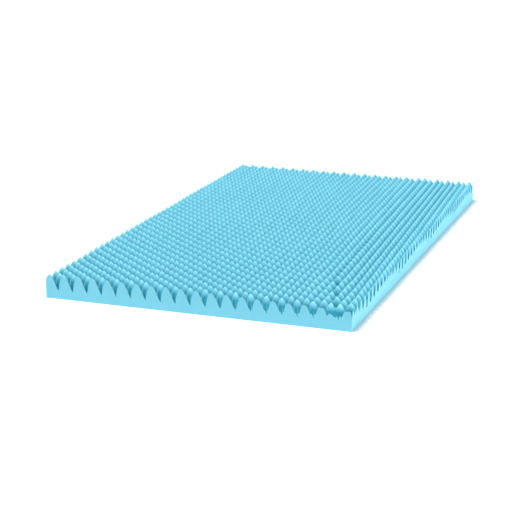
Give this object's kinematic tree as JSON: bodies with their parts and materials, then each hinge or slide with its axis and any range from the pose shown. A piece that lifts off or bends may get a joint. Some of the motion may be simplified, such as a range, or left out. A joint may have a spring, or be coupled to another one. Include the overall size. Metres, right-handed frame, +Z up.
{
  "type": "mattress topper",
  "caption": "Convoluted foam mattress topper: one flat sheet with staggered pointed peaks and deep pits on top, a flat underside and straight cut sides.",
  "frame": {"origin": "middle of the underside, on the surface the sheet lies on", "axes": "+Z up out of the peaks, +Y along the bed from foot to head, +X across the bed"},
  "size_m": [0.99, 1.905, 0.08],
  "materials": {
    "foam": "matte open-cell polyurethane foam, sky blue"
  },
  "bodies": {
    "root": {"foam_sheet": "foam"}
  },
  "joints": []
}
